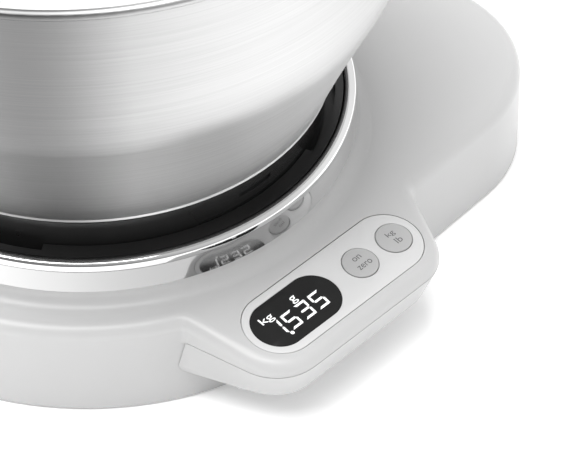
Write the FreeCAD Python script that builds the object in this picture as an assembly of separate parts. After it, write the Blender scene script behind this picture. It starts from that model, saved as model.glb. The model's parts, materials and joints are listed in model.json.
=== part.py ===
"""Kitchen scale: a low base with a control pod, a chrome seat collar, a black weighing seat and a bowl.

Everything is drawn about the bowl axis: X runs along the control pod, Y from the pod to the back and
Z up, with the table at Z = 0. export() then moves each piece so that the origin is the middle of the
bounding box's bottom face. Millimetres and degrees throughout.
"""
import FreeCAD, Part
import math
import os
from FreeCAD import Placement, Rotation, Vector

# ---- housing: plan ----
base_radius = 123.4            # round left end of the base, about the bowl axis
tail_length = 46.6             # how far the right end reaches past that radius
flank_taper = 3.0              # each long side closes in towards the right end
end_corner_radius = 60.0
pod_reach = 31.7               # how far the pod stands out in front of the base
pod_left_corner = 50.1         # front corners of the pod, before they are rounded
pod_right_corner = 44.1
pod_left_flare = 10.0          # each side of the pod widens towards the base
pod_right_flare = 26.0
pod_corner_radius = 20.0
pod_root_radius = 5.0          # hollow corners where the pod meets the base
pod_bottom_setback = 5.6       # the pod's underside is smaller than its rim: front edge set back,
pod_bottom_left_corner = 42.8  # its own corners
pod_bottom_right_corner = 40.2
pod_bottom_left_flare = 25.0   # and a wider spread on the left

# ---- housing: heights and walls ----
foot_height = 2.2
skirt_gap = 1.2                # the side wall stops this far above the table
deck_height = 43.5
panel_tilt = 9.2               # the deck rolls down towards the front by this angle
deck_roll_radius = 120.0
deck_edge_radius = 5.6
housing_wall = 2.5
parting_drop = 12.5            # pod lower shell ends and top cover starts this far below the deck
parting_gap = 0.3
pod_floor_height = 14.0
pod_bottom_radius = 5.5
pod_shell_wall = 2.0
plate_thickness = 2.5          # bottom plate
fit_gap = 0.3                  # between fixed mouldings
screw_gap = 0.1                # radial, round every screw
sliding_gap = 0.08             # radial, round a button

# ---- seat collar and weighing seat ----
collar_radius = 108.0
collar_taper = 0.5
collar_foot_lift = 6.6         # collar foot above the deck
collar_rise = 14.2
collar_flare = 1.85            # the wall leans in by this much up to the rim's bead
collar_bead = 4.8              # height of that bead
collar_bead_radius = 1.2       # rounding under it
collar_wall = 2.0
collar_skirt_wall = 1.2
collar_step = 1.5              # shelf inside the collar's foot that the cover carries
collar_width = 5.1             # width of the collar's rim
collar_skirt_drop = 3.1        # inner skirt below the collar foot
foot_blend_radius = 6.0        # hollow sweep from deck to collar
seat_gap = 0.35                # between the fixed collar and the seat's flange
seat_rim_drop = 1.5            # seat flange below the collar's top
seat_flange_width = 3.3
seat_wall = 2.4
seat_depth = 8.3
seat_floor = 2.5
tab_depth = 3.6
tab_thickness = 2.3
tab_span = 75.0
tab_end_angle = -71.0
tab_count = 3

# ---- bowl ----
ring_clearance = 0.7           # bowl ring inside the bayonet tabs
ring_height = 21.9
ring_flare = 2.7
ring_wall = 2.4
ring_foot_width = 7.5
ring_foot = 2.5
bowl_edge_overhang = 1.05      # bright lower edge of the brushed wall, outside the black ring
bowl_edge_lift = 1.1           # that edge above the black ring
bowl_flare_height = 55.0
bowl_flare_radius = 123.5      # radius at the top of the flare
bowl_flare_sag = 0.8           # the flare bows inwards by this much half-way up
bowl_flare_angle = 27.5        # lean of the flare at its top, from the vertical
bowl_side_radius = 129.0
bowl_height = 128.0            # from the bright edge to the rim
bowl_sheet = 0.9
rim_roll_radius = 2.0
bowl_floor_lift = 6.0          # bowl floor above the ring's foot
bowl_floor_corner = 10.0
bowl_neck_step = 2.6           # neck of the bowl inside the ring
slot_length = 17.0
slot_height = 2.0
slot_depth = 1.0
slot_angle = -91.6
slot_lift = 12.3               # slot above the ring's foot
pad_height = 1.5
pad_span = 30.0

# ---- control panel ----
panel_margin = 5.9             # deck in front of the panel's edge
panel_break = 26.2             # the deck starts to roll down this far behind the panel's centre
panel_half_centres = 31.2
panel_end_radius = 15.0
panel_thickness = 1.5
panel_ledge = 2.0
ledge_depth = 5.1              # underside of the ledge below the panel surface
gasket_thickness = 0.3
window_offset = -21.6
window_half_centres = 10.1
window_radius = 11.25
window_flange = 1.2
button_offsets = {"zero": 15.3, "unit": 35.06}
button_radius = 7.5
button_proud = 0.3
button_flange = 0.5
button_flange_thickness = 1.2
button_stem_radius = 3.0
button_travel = 0.8
dome_height = 2.6
dome_wall = 0.8
dome_foot = 2.0                # dome's foot beyond the stem
dome_room = 2.4                # hole in the panel frame beyond the stem
display_size = (36.0, 19.0, 3.0)
light_guide_size = (40.0, 20.0, 1.5)
window_flange_thickness = 0.8
window_gap = 0.05              # lens in the fascia
fascia_gap = 0.15              # fascia in its recess
stack_gap = 0.5                # light guide in the panel frame
board_thickness = 1.6
board_drop = 11.0              # control board's underside below the panel surface
board_margin = 3.5             # ends of the board inside the fascia's ends
board_centre_inset = 1.2
board_screw_radius = 1.0
board_screw_run = 8.0          # end screw beyond the centre of the board's round end
board_screw_edge = 2.8         # side screws inside the board's edge
board_screw_side = 1.5
frame_flange = 1.5             # panel frame's flange beyond the fascia, and its thickness
frame_screw_inset = 9.0
frame_screw_edge = 0.4

# ---- weighing mechanism ----
platform_travel = 0.6          # seat movement down to the overload stops
chassis_length = 130.0
chassis_width = 96.0
chassis_sheet = 2.5
chassis_lift = 3.3             # bosses between bottom plate and chassis
cell_length = 80.0
cell_side = 12.7
cell_pad = 20.0                # length of each clamped end
cell_bore_radius = 5.0
cell_bore_spacing = 15.0
cell_screw_radius = 2.5
spacer_height = 4.0
spider_sheet = 4.0
spider_margin = 13.15          # ends of the spider inside the seat's wall
spider_hub_radius = 34.0
spider_arm_width = 22.0
stop_arm_width = 14.0
stop_arm_run = 8.0             # arm beyond each overload stop
spider_hub_length = 28.0
spider_hub_width = 28.0
stop_radius = 4.0
stop_circle = 55.0
stop_angle = 35.0
stop_stem_radius = 2.0
cell_screw_shares = (0.27, 0.73)   # screws along each clamped end
chassis_screw_radius = 2.0
chassis_boss_radius = 5.0
chassis_boss_inset = 8.0
seat_screw_inset = 18.0        # seat screws inside the ends of the spider

# ---- screws, feet, boards and battery ----
cover_screw_radius = 1.5
cover_boss_radius = 4.0
cover_boss_clearance = 5.5     # boss centre inside the housing wall
cover_boss_angles = (95, 150, 210, 240)
cover_boss_setback = (27.0, 30.0)  # corner bosses inside the right end and inside the flanks
pod_boss_radius = 3.0
pod_boss_gap = 1.5             # beside the ends of the control board
pod_boss_setback = 6.0         # behind the panel's centre
pod_post_height = 8.5          # posts on the pod's floor under its bosses
screw_head_height = 1.5
cover_screw_run = 10.0         # screws up into the cover's bosses
cover_hole_depth = 14.0
foot_radius = 7.0
foot_stem_radius = 2.0
foot_stem = 2.0
foot_inset = 26.0              # feet inside the outline
foot_angles = (130, 230)
foot_corner_run = 24.0         # right-hand feet towards the middle
front_foot_run = 6.0           # front foot towards the pod
main_board_size = (46.0, 40.0)
main_board_lift = 6.3
main_board_boss_radius = 3.0
main_board_boss_inset = 4.0
main_board_gap = 11.0          # board beyond the battery tray
header_lift = 2.5              # cable ends above the board
battery_radius = 5.1
battery_length = 44.5
battery_pitch = 10.9
battery_count = 3
tray_wall = 1.5
tray_inset = 32.0              # middle of the tray inside the right end
board_inset = 57.0             # middle of the main board inside the right end
tray_end_room = 7.5            # contacts at each end of the cells
door_margin = 3.0              # rebate round the battery opening
door_thickness = 1.4
door_gap = 0.2
door_tongue = 1.0
door_travel = 8.0
cable_radius = 1.6
lead_radius = 0.9

# ---- derived places ----
base_right = base_radius + tail_length
pod_front = -(base_radius + pod_reach)
parting_height = deck_height - parting_drop
plate_top = foot_height + plate_thickness
collar_foot = deck_height + collar_foot_lift
collar_top = collar_foot + collar_rise
collar_inner = collar_radius - collar_taper - collar_width
seat_rim = collar_top - seat_rim_drop
seat_flange_radius = collar_inner - seat_gap
seat_inner = seat_flange_radius - seat_flange_width
seat_outer = seat_inner + seat_wall
seat_floor_top = seat_rim - seat_depth
spider_top = seat_floor_top - seat_floor
ring_radius = seat_inner - tab_depth - ring_clearance
ring_bottom = seat_floor_top + pad_height
ring_top = ring_bottom + ring_height
ring_top_radius = ring_radius + ring_flare
neck_radius = ring_top_radius - ring_wall - bowl_neck_step
bowl_edge_radius = ring_top_radius + bowl_edge_overhang
bowl_edge = ring_top + bowl_edge_lift
bowl_rim = bowl_edge + bowl_height
rim_radius = bowl_side_radius + rim_roll_radius
chassis_bottom = plate_top + chassis_lift
chassis_top = chassis_bottom + chassis_sheet
cell_bottom = chassis_top + spacer_height
cell_top = cell_bottom + cell_side
hub_bottom = cell_top + spacer_height
spider_bottom = spider_top - spider_sheet
spider_radius = seat_outer - spider_margin
board_end_radius = panel_end_radius - board_margin
board_half_centres = panel_half_centres - board_centre_inset
panel_y = pod_front + panel_margin + panel_end_radius
deck_break_y = panel_y + panel_break
slope = math.tan(math.radians(panel_tilt))
panel_z = deck_height + (panel_y - deck_break_y) * slope
panel_place = Placement(Vector(0, panel_y, panel_z), Rotation(Vector(1, 0, 0), panel_tilt))
tray_x = base_right - tray_inset
tray_half_width = battery_count * battery_pitch / 2 + 1.0 + tray_wall
tray_half_length = battery_length / 2 + tray_end_room + tray_wall
tray_height = 2 * battery_radius + 4.0
board_x = base_right - board_inset
board_y = tray_half_length + main_board_gap + main_board_size[1] / 2
board_z = plate_top + main_board_lift
header_z = board_z + board_thickness + header_lift
lens_back = -panel_thickness - window_flange_thickness
gasket_bottom = -panel_thickness - gasket_thickness
far = 400.0                    # beyond every piece
above = 40.0                   # beyond every piece of the panel
left_extreme = max(base_radius, rim_radius)
back_extreme = max(base_radius, rim_radius)
origin_shift = Vector((left_extreme - base_right) / 2, (-pod_front - back_extreme) / 2, 0)


# ---- drawing helpers ----
def export(name, shape):
    """Write one piece, moved to the part's own origin."""
    moved = shape.copy()
    moved.translate(origin_shift)
    moved.exportStep("parts/" + name + ".step")


def cylinder(radius, bottom, top, x=0.0, y=0.0):
    return Part.makeCylinder(radius, top - bottom, Vector(x, y, bottom))


def block(x0, x1, y0, y1, z0, z1):
    return Part.makeBox(x1 - x0, y1 - y0, z1 - z0, Vector(x0, y0, z0))


def group(shapes):
    """Separate solids that share one node."""
    return Part.makeCompound(shapes)


def on_circle(radius, angles):
    """Places on a circle about the bowl axis."""
    return [(radius * math.cos(math.radians(a)), radius * math.sin(math.radians(a))) for a in angles]


def corner_places(half_x, half_y, x=0.0, y=0.0):
    """The four corners of a rectangle about a centre."""
    return [(x + side * half_x, y + end * half_y) for side in (-1, 1) for end in (-1, 1)]


def drilled(shape, radius, places, bottom=-far, top=far):
    """A shape with an upright hole at each place."""
    for x, y in places:
        shape = shape.cut(cylinder(radius, bottom, top, x, y))
    return shape


def rounded_face(points, radii):
    """A flat face from a closed polygon, each corner rounded by its own radius."""
    count = len(points)
    corners = []
    for index, (corner, radius) in enumerate(zip(points, radii)):
        before = points[index - 1].sub(corner)
        after = points[(index + 1) % count].sub(corner)
        before.normalize()
        after.normalize()
        half = before.getAngle(after) / 2
        middle = before.add(after)
        middle.normalize()
        run = radius / math.tan(half)
        inner = corner.add(middle.multiply(radius / math.sin(half) - radius))
        corners.append((corner.add(before.multiply(run)), inner, corner.add(after.multiply(run))))
    edges = []
    for index, (start, inner, end) in enumerate(corners):
        if radii[index] > 0:
            edges.append(Part.Arc(start, inner, end).toShape())
        following = corners[(index + 1) % count][0]
        if end.distanceToPoint(following) > 1e-6:
            edges.append(Part.makeLine(end, following))
    return Part.Face(Part.Wire(edges))


def lathe(points, radii=None, start=0.0, span=360.0):
    """Turn a closed (radius, height) outline about the bowl axis."""
    outline = [Vector(radius, 0, height) for radius, height in points]
    face = rounded_face(outline, radii or [0.0] * len(points))
    face.rotate(Vector(0, 0, 0), Vector(0, 0, 1), start)
    return face.revolve(Vector(0, 0, 0), Vector(0, 0, 1), span)


def stadium(centre_x, half_centres, radius, bottom, top):
    """A flat-sided round-ended bar along X, in the panel's own coordinates."""
    body = block(centre_x - half_centres, centre_x + half_centres, -radius, radius, bottom, top)
    for side in (-1, 1):
        body = body.fuse(cylinder(radius, bottom, top, centre_x + side * half_centres))
    return body.removeSplitter()


def on_panel(shape):
    """Move a piece drawn in the panel's coordinates onto the sloping panel."""
    placed = shape.copy()
    placed.Placement = panel_place.multiply(placed.Placement)
    return placed


def is_upright(edge):
    return abs(edge.tangentAt(edge.FirstParameter).z) > 0.99


def wall_rims(solid, low, high):
    """Edges round the ends of the upright walls, between two heights."""
    rims = []
    for face in solid.Faces:
        u0, u1, v0, v1 = face.ParameterRange
        if abs(face.normalAt((u0 + u1) / 2, (v0 + v1) / 2).z) > 1e-3:
            continue
        rims += [e for e in face.Edges if low < e.CenterOfMass.z < high and not is_upright(e)]
    return rims


def screw(radius, seat, tip, x, y, head_up=True):
    """A pan-head screw: head beyond its seat, shank from seat to tip."""
    head = screw_head_height if head_up else -screw_head_height
    low, high = sorted((seat, seat + head))
    shank_low, shank_high = sorted((seat, tip))
    return cylinder(2 * radius, low, high, x, y).fuse(cylinder(radius, shank_low, shank_high, x, y))


def cable(points, radius):
    """A round cable along a smooth curve through its points."""
    curve = Part.BSplineCurve()
    curve.interpolate([Vector(*point) for point in points])
    spine = Part.Wire([curve.toShape()])
    direction = curve.tangent(curve.FirstParameter)[0]
    section = Part.Wire([Part.makeCircle(radius, Vector(*points[0]), direction)])
    return spine.makePipeShell([section], True, True)


# ---- plan outlines ----
def base_face():
    """Plan of the base: round left end, tapered flanks, rounded right end."""
    sine = math.sin(math.radians(flank_taper))
    cosine = math.cos(math.radians(flank_taper))
    left_y = (base_radius + base_radius * sine) / cosine
    right_y = (base_radius - base_right * sine) / cosine
    corners = [Vector(-base_radius, -left_y, 0), Vector(base_right, -right_y, 0),
               Vector(base_right, right_y, 0), Vector(-base_radius, left_y, 0)]
    return rounded_face(corners, [base_radius, end_corner_radius, end_corner_radius, base_radius])


def pod_corners(front, left, left_flare, right, right_flare):
    """Front corners and the points where the flared sides run under the deck."""
    back_y = -base_radius * 2 / 3
    depth = back_y - front
    return [Vector(-left, front, 0), Vector(right, front, 0),
            Vector(right + depth * math.tan(math.radians(right_flare)), back_y, 0),
            Vector(-left - depth * math.tan(math.radians(left_flare)), back_y, 0)]


def pod_face():
    """Plan of the pod's rim, run back under the deck."""
    corners = pod_corners(pod_front, pod_left_corner, pod_left_flare, pod_right_corner, pod_right_flare)
    return rounded_face(corners, [pod_corner_radius, pod_corner_radius, 0.0, 0.0])


def pod_dish(inset):
    """Solid under the pod, tapering from its rim to its underside; an inset gives the inside."""
    top = pod_corners(pod_front + inset, pod_left_corner - inset, pod_left_flare,
                      pod_right_corner - inset, pod_right_flare)
    bottom = pod_corners(pod_front + pod_bottom_setback + inset, pod_bottom_left_corner - inset,
                         pod_bottom_left_flare, pod_bottom_right_corner - inset, pod_right_flare)
    corner = pod_corner_radius - inset
    levels = [(bottom, pod_floor_height + inset), (top, parting_height)]
    wires = []
    for corners, height in levels:
        face = rounded_face(corners, [corner, corner, 0.0, 0.0])
        face.translate(Vector(0, 0, height))
        wires.append(face.OuterWire)
    return Part.makeLoft(wires, True, True)


def housing_face():
    """Plan of base and pod together; growing and shrinking it rounds the hollow corners."""
    joined = base_face().fuse(pod_face()).removeSplitter().Faces[0]
    return joined.makeOffset2D(pod_root_radius).makeOffset2D(-pod_root_radius)


def prism(face, bottom, top, inset=0.0):
    """An upright prism on a plan outline, moved in by an inset."""
    outline = face.makeOffset2D(-inset) if inset else face.copy()
    outline.translate(Vector(0, 0, bottom))
    return outline.extrude(Vector(0, 0, top - bottom))


def below_deck(drop=0.0):
    """Everything under the deck: level at the back, rolled over to the panel's slope in front."""
    run = deck_roll_radius * math.tan(math.radians(panel_tilt) / 2)
    crest = Vector(-far, deck_break_y, deck_height - drop)
    level_end = crest.add(Vector(0, run, 0))
    tilt = math.radians(panel_tilt)
    slope_start = crest.add(Vector(0, -run * math.cos(tilt), -run * math.sin(tilt)))
    centre = level_end.add(Vector(0, 0, -deck_roll_radius))
    half = tilt / 2
    crown = centre.add(Vector(0, -deck_roll_radius * math.sin(half), deck_roll_radius * math.cos(half)))
    front_z = deck_height - drop - (far + deck_break_y) * slope
    edges = [Part.makeLine(Vector(-far, far, deck_height - drop), level_end),
             Part.Arc(level_end, crown, slope_start).toShape(),
             Part.makeLine(slope_start, Vector(-far, -far, front_z)),
             Part.makeLine(Vector(-far, -far, front_z), Vector(-far, -far, -far)),
             Part.makeLine(Vector(-far, -far, -far), Vector(-far, far, -far)),
             Part.makeLine(Vector(-far, far, -far), Vector(-far, far, deck_height - drop))]
    return Part.Face(Part.Wire(edges)).extrude(Vector(2 * far, 0, 0))


# ---- places shared by several pieces ----
def cover_boss_places():
    """Cover screws: round the left end between collar and wall, and along the right end."""
    ring = base_radius - housing_wall - cover_boss_clearance
    end_run, side_run = cover_boss_setback
    corner = base_right - end_run
    side = base_radius - base_right * math.sin(math.radians(flank_taper)) - side_run
    return on_circle(ring, cover_boss_angles) + [(corner, side), (corner, -side)]


def pod_boss_places():
    """One screw beside each end of the control board."""
    side = board_half_centres + board_end_radius + pod_boss_radius + pod_boss_gap
    return [(-side, panel_y + pod_boss_setback), (side, panel_y + pod_boss_setback)]


def foot_places():
    ring = base_radius - foot_inset
    corner = base_right - foot_inset
    side = ring - foot_corner_run
    return on_circle(ring, foot_angles) + [(corner, side), (corner, -side), (0.0, -ring - front_foot_run)]


def chassis_boss_places():
    return corner_places(chassis_length / 2 - chassis_boss_inset, chassis_width / 2 - chassis_boss_inset)


def stop_places():
    return on_circle(stop_circle, [stop_angle, 180 - stop_angle, 180 + stop_angle, -stop_angle])


def cell_screw_places(side):
    end = side * cell_length / 2
    return [(end - side * cell_pad * share, 0.0) for share in cell_screw_shares]


def main_board_boss_places():
    half_x = main_board_size[0] / 2 - main_board_boss_inset
    half_y = main_board_size[1] / 2 - main_board_boss_inset
    return corner_places(half_x, half_y, board_x, board_y)


# ---- housing ----
def top_cover():
    """Deck, side wall and the pod's upper half in one moulding."""
    plan = housing_face()
    base = base_face()
    split = parting_height + parting_gap
    upper = prism(plan, split, far).common(below_deck())
    upper = upper.makeFillet(deck_edge_radius, wall_rims(upper, split + 1.0, far))
    upper = upper.fuse(cylinder(collar_radius, split, collar_foot))
    foot = [e for e in wall_rims(upper, split + 1.0, collar_foot - 0.1)
            if abs(math.hypot(e.Vertexes[0].X, e.Vertexes[0].Y) - collar_radius) < 1e-3]
    upper = upper.makeFillet(foot_blend_radius, foot)
    outer = upper.fuse(prism(base, skirt_gap, split + 1.0)).removeSplitter()
    room = prism(plan, split, far, housing_wall).fuse(prism(base, -1.0, split + 1.0, housing_wall))
    cover = outer.cut(room.common(below_deck(housing_wall)))
    for x, y in cover_boss_places():
        boss = cylinder(cover_boss_radius, plate_top, far, x, y).common(below_deck(housing_wall / 2))
        cover = cover.fuse(boss)
    shell_room = pod_dish(0.0).cut(pod_dish(pod_shell_wall + fit_gap))
    for x, y in pod_boss_places():
        boss = cylinder(pod_boss_radius, pod_floor_height + pod_post_height, far, x, y)
        cover = cover.fuse(boss.common(below_deck(housing_wall / 2)).cut(shell_room))
    ledge = stadium(0.0, panel_half_centres, panel_end_radius + housing_wall, -ledge_depth, -1.0)
    cover = cover.fuse(on_panel(ledge).common(prism(plan, split, far, 1.0)))
    cover = cover.cut(cylinder(collar_radius - collar_wall - collar_step, -1.0, far))
    window = board_half_centres + board_end_radius + 1.0
    cover = cover.cut(block(-window, window, panel_y, -base_radius / 2, pod_floor_height + 5.0, split + 1.5))
    cover = cover.cut(on_panel(panel_recess()))
    hole = cover_screw_radius + screw_gap
    cover = drilled(cover, hole, cover_boss_places(), top=plate_top + cover_hole_depth)
    cover = drilled(cover, hole, pod_boss_places(), top=parting_height + 2.0)
    holes = [cylinder(board_screw_radius + screw_gap, -above, 3.0 - ledge_depth, x, y)
             for x, y in frame_screw_places()]
    return cover.cut(on_panel(group(holes)))


def panel_recess():
    """Seat of the fascia and the opening under it, in the panel's coordinates."""
    recess = stadium(0.0, panel_half_centres, panel_end_radius + fascia_gap, gasket_bottom, above)
    opening = stadium(0.0, panel_half_centres, panel_end_radius - panel_ledge, -ledge_depth - 3.0, 0.0)
    return recess.fuse(opening)


def pod_lower_shell():
    """Tapered dish under the pod with a softened bottom edge, butted against the base wall."""
    outer = pod_dish(0.0)
    low = [e for e in outer.Edges if e.BoundBox.ZMax < pod_floor_height + fit_gap]
    outer = outer.makeFillet(pod_bottom_radius, [e for e in low if e.BoundBox.YMin < -base_radius])
    shell = outer.cut(pod_dish(pod_shell_wall))
    for x, y in pod_boss_places():
        post = cylinder(pod_boss_radius, pod_floor_height, pod_floor_height + pod_post_height, x, y)
        shell = shell.fuse(post.common(outer))
    shell = shell.cut(prism(base_face(), -1.0, far, -fit_gap))
    return drilled(shell, cover_screw_radius + screw_gap, pod_boss_places())


def bottom_plate():
    """Flat floor of the base with bosses for the chassis and main board and a battery opening."""
    inset = housing_wall + fit_gap
    plate = prism(base_face(), foot_height, plate_top, inset)
    for x, y in chassis_boss_places():
        plate = plate.fuse(cylinder(chassis_boss_radius, foot_height, chassis_bottom, x, y))
    for x, y in main_board_boss_places():
        plate = plate.fuse(cylinder(main_board_boss_radius, foot_height, board_z, x, y))
    plate = drilled(plate, chassis_screw_radius + screw_gap, chassis_boss_places(), bottom=foot_height + 1.2)
    plate = drilled(plate, board_screw_radius + screw_gap, main_board_boss_places(), bottom=plate_top)
    plate = drilled(plate, cover_screw_radius + screw_gap, cover_boss_places())
    plate = drilled(plate, 2 * cover_screw_radius + fit_gap, cover_boss_places(),
                    top=foot_height + screw_head_height)
    plate = drilled(plate, foot_stem_radius + screw_gap, foot_places())
    opening_x = tray_half_width - tray_wall
    opening_y = tray_half_length - tray_wall
    plate = plate.cut(block(tray_x - opening_x, tray_x + opening_x, -opening_y, opening_y, 0.0, far))
    return plate.cut(door_rebate())


def door_rebate():
    """Rebate and side grooves in the plate's underside that the battery door slides in."""
    half_x = tray_half_width - tray_wall + door_margin
    half_y = tray_half_length - tray_wall + door_margin
    top = foot_height + door_thickness + 2 * door_gap
    rebate = block(tray_x - half_x, tray_x + half_x, -half_y, half_y + door_travel, 0.0, top)
    groove_x = half_x + door_tongue + door_gap
    return rebate.fuse(block(tray_x - groove_x, tray_x + groove_x, -half_y, half_y + door_travel,
                             top - door_thickness / 2 - 2 * door_gap, top))


def battery_door():
    """Sliding cover of the battery opening, with a tongue along each side."""
    half_x = tray_half_width - tray_wall + door_margin - door_gap
    half_y = tray_half_length - tray_wall + door_margin - door_gap
    bottom = foot_height + door_gap
    top = bottom + door_thickness
    door = block(tray_x - half_x, tray_x + half_x, -half_y, half_y, bottom, top)
    tongue = block(tray_x - half_x - door_tongue, tray_x + half_x + door_tongue, -half_y, half_y,
                   top - door_thickness / 2 + door_gap, top)
    door = door.fuse(tongue).removeSplitter()
    for row in range(4):
        y = half_y - 4.0 - 2.5 * row
        door = door.cut(block(tray_x - 8.0, tray_x + 8.0, y, y + 1.2, 0.0, bottom + 0.5))
    return door


def battery_tray():
    """Open-bottomed box over the cells, standing on the bottom plate."""
    outer = block(tray_x - tray_half_width, tray_x + tray_half_width, -tray_half_length, tray_half_length,
                  plate_top, plate_top + tray_height)
    inner_x = tray_half_width - tray_wall
    inner_y = tray_half_length - tray_wall
    return outer.cut(block(tray_x - inner_x, tray_x + inner_x, -inner_y, inner_y,
                           0.0, plate_top + tray_height - tray_wall))


def cell_centres():
    first = -(battery_count - 1) / 2
    return [tray_x + (first + index) * battery_pitch for index in range(battery_count)]


def battery_cells():
    """Small round cells side by side, each turned end for end to the next."""
    cells = []
    for index, x in enumerate(cell_centres()):
        way = 1 if index % 2 else -1
        z = plate_top + battery_radius + 1.0
        can = Part.makeCylinder(battery_radius, battery_length - 1.0, Vector(x, -way * battery_length / 2, z),
                                Vector(0, way, 0))
        cap = Part.makeCylinder(1.8, 1.0, Vector(x, way * (battery_length / 2 - 1.0), z), Vector(0, way, 0))
        cells.append(can.fuse(cap))
    return group(cells)


def battery_contacts():
    """A flat contact and a coil contact for each cell."""
    contacts = []
    reach = battery_length / 2
    wall = tray_half_length - tray_wall
    for index, x in enumerate(cell_centres()):
        way = 1 if index % 2 else -1
        z = plate_top + battery_radius + 1.0
        y0, y1 = sorted((way * (wall - 0.6), way * wall))
        contacts.append(block(x - 4.0, x + 4.0, y0, y1, z - 4.0, z + 4.0))
        contacts.append(Part.makeCylinder(1.6, wall - 0.6 - reach, Vector(x, way * reach, z),
                                          Vector(0, way, 0)))
        y0, y1 = sorted((-way * (wall - 0.6), -way * wall))
        contacts.append(block(x - 4.0, x + 4.0, y0, y1, z - 4.0, z + 4.0))
        coil = Part.makeCone(2.0, 3.8, wall - 0.6 - reach, Vector(x, -way * reach, z), Vector(0, -way, 0))
        contacts.append(coil)
    return group(contacts)


# ---- seat collar, weighing seat and bowl ----
def seat_collar():
    """Bright ring: a wall leaning in to a rounded bead at the rim, and a plain inner skirt."""
    foot_inner = collar_radius - collar_wall
    skirt_outer = collar_inner + collar_skirt_wall
    skirt_bottom = collar_foot - collar_skirt_drop
    bead_low = collar_top - collar_bead
    bead_outer = collar_radius - collar_taper
    round_rim = collar_bead / 2 - fit_gap / 2
    points = [(collar_radius, collar_foot), (collar_radius - collar_flare, bead_low), (bead_outer, bead_low),
              (bead_outer, collar_top), (collar_inner, collar_top), (collar_inner, skirt_bottom),
              (skirt_outer, skirt_bottom), (skirt_outer, bead_low), (foot_inner - collar_flare, bead_low),
              (foot_inner, collar_foot)]
    return lathe(points, [0.0, 0.0, collar_bead_radius, round_rim, round_rim, 0.0, 0.0, 0.0, 0.0, 0.0])


def splash_seal():
    """Thin lip on the collar's inner skirt, just clear of the moving seat."""
    bottom = seat_floor_top - seat_floor + 1.0
    return lathe([(seat_outer + seat_gap, bottom + 1.0), (collar_inner, bottom), (collar_inner, bottom + 3.0),
                  (seat_outer + seat_gap, bottom + 2.0)])


def weighing_seat():
    """Black dish with an outward flange and bayonet tabs; it carries the bowl and moves with the load."""
    cup = lathe([(0.0, spider_top), (seat_outer, spider_top), (seat_outer, seat_rim - 1.8),
                 (seat_flange_radius, seat_rim - 1.8), (seat_flange_radius, seat_rim), (seat_inner, seat_rim),
                 (seat_inner, seat_floor_top), (0.0, seat_floor_top)])
    tab_tip = seat_inner - tab_depth
    tab_root = seat_inner + 0.5
    tab_bottom = seat_rim - tab_thickness
    tab = [(tab_tip, tab_bottom), (tab_root, tab_bottom), (tab_root, seat_rim), (tab_tip, seat_rim)]
    for index in range(tab_count):
        start = tab_end_angle - tab_span + 360.0 / tab_count * index
        cup = cup.fuse(lathe(tab, start=start, span=tab_span))
    return drilled(cup, cover_screw_radius + screw_gap, seat_screw_places()).removeSplitter()


def seat_screw_places():
    return on_circle(spider_radius - seat_screw_inset, (0, 90, 180, 270))


def seat_pads():
    """Three soft pads that the bowl ring stands on."""
    outer = ring_radius - 0.5
    inner = outer - ring_foot_width + 1.0
    outline = [(inner, seat_floor_top), (outer, seat_floor_top), (outer, ring_bottom), (inner, ring_bottom)]
    return group([lathe(outline, start=start, span=pad_span) for start in (90.0, 210.0, 330.0)])


def bowl_profile(inset):
    """Solid turned bowl; an inset gives the inside of the sheet."""
    floor = ring_bottom + bowl_floor_lift + inset
    neck = neck_radius - inset
    step = ring_top + inset
    edge = Vector(bowl_edge_radius - inset, 0, bowl_edge + inset / 2)
    mid_radius = (bowl_edge_radius + bowl_flare_radius) / 2 - bowl_flare_sag - inset
    middle = Vector(mid_radius, 0, bowl_edge + bowl_flare_height / 2)
    flare_end = Vector(bowl_flare_radius - inset, 0, bowl_edge + bowl_flare_height)
    turn = bowl_side_radius - inset
    lean = math.radians(bowl_flare_angle)
    turn_radius = (bowl_side_radius - bowl_flare_radius) / (1 - math.cos(lean))
    shoulder = flare_end.z + turn_radius * math.sin(lean)
    half = lean / 2
    wall_mid = Vector(turn - turn_radius * (1 - math.cos(half)), 0, shoulder - turn_radius * math.sin(half))
    corner = bowl_floor_corner - inset
    chord = corner * (1 - math.sqrt(0.5))
    edges = [Part.makeLine(Vector(0, 0, floor), Vector(neck - corner, 0, floor)),
             Part.Arc(Vector(neck - corner, 0, floor), Vector(neck - chord, 0, floor + chord),
                      Vector(neck, 0, floor + corner)).toShape(),
             Part.makeLine(Vector(neck, 0, floor + corner), Vector(neck, 0, step)),
             Part.makeLine(Vector(neck, 0, step), Vector(edge.x, 0, step)),
             Part.makeLine(Vector(edge.x, 0, step), edge),
             Part.Arc(edge, middle, flare_end).toShape(),
             Part.Arc(flare_end, wall_mid, Vector(turn, 0, shoulder)).toShape(),
             Part.makeLine(Vector(turn, 0, shoulder), Vector(turn, 0, bowl_rim)),
             Part.makeLine(Vector(turn, 0, bowl_rim), Vector(0, 0, bowl_rim)),
             Part.makeLine(Vector(0, 0, bowl_rim), Vector(0, 0, floor))]
    return Part.Face(Part.Wire(edges)).revolve(Vector(0, 0, 0), Vector(0, 0, 1), 360)


def bowl_shell():
    """Pressed steel bowl with a rolled rim."""
    inside = bowl_profile(bowl_sheet)
    mouth = cylinder(bowl_side_radius - bowl_sheet, bowl_rim - 1.0, bowl_rim + 1.0)
    shell = bowl_profile(0.0).cut(inside).cut(mouth)
    roll = Part.makeTorus(bowl_side_radius, rim_roll_radius, Vector(0, 0, bowl_rim - rim_roll_radius))
    return shell.fuse(roll).cut(cylinder(far, bowl_rim, far)).removeSplitter()


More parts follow.
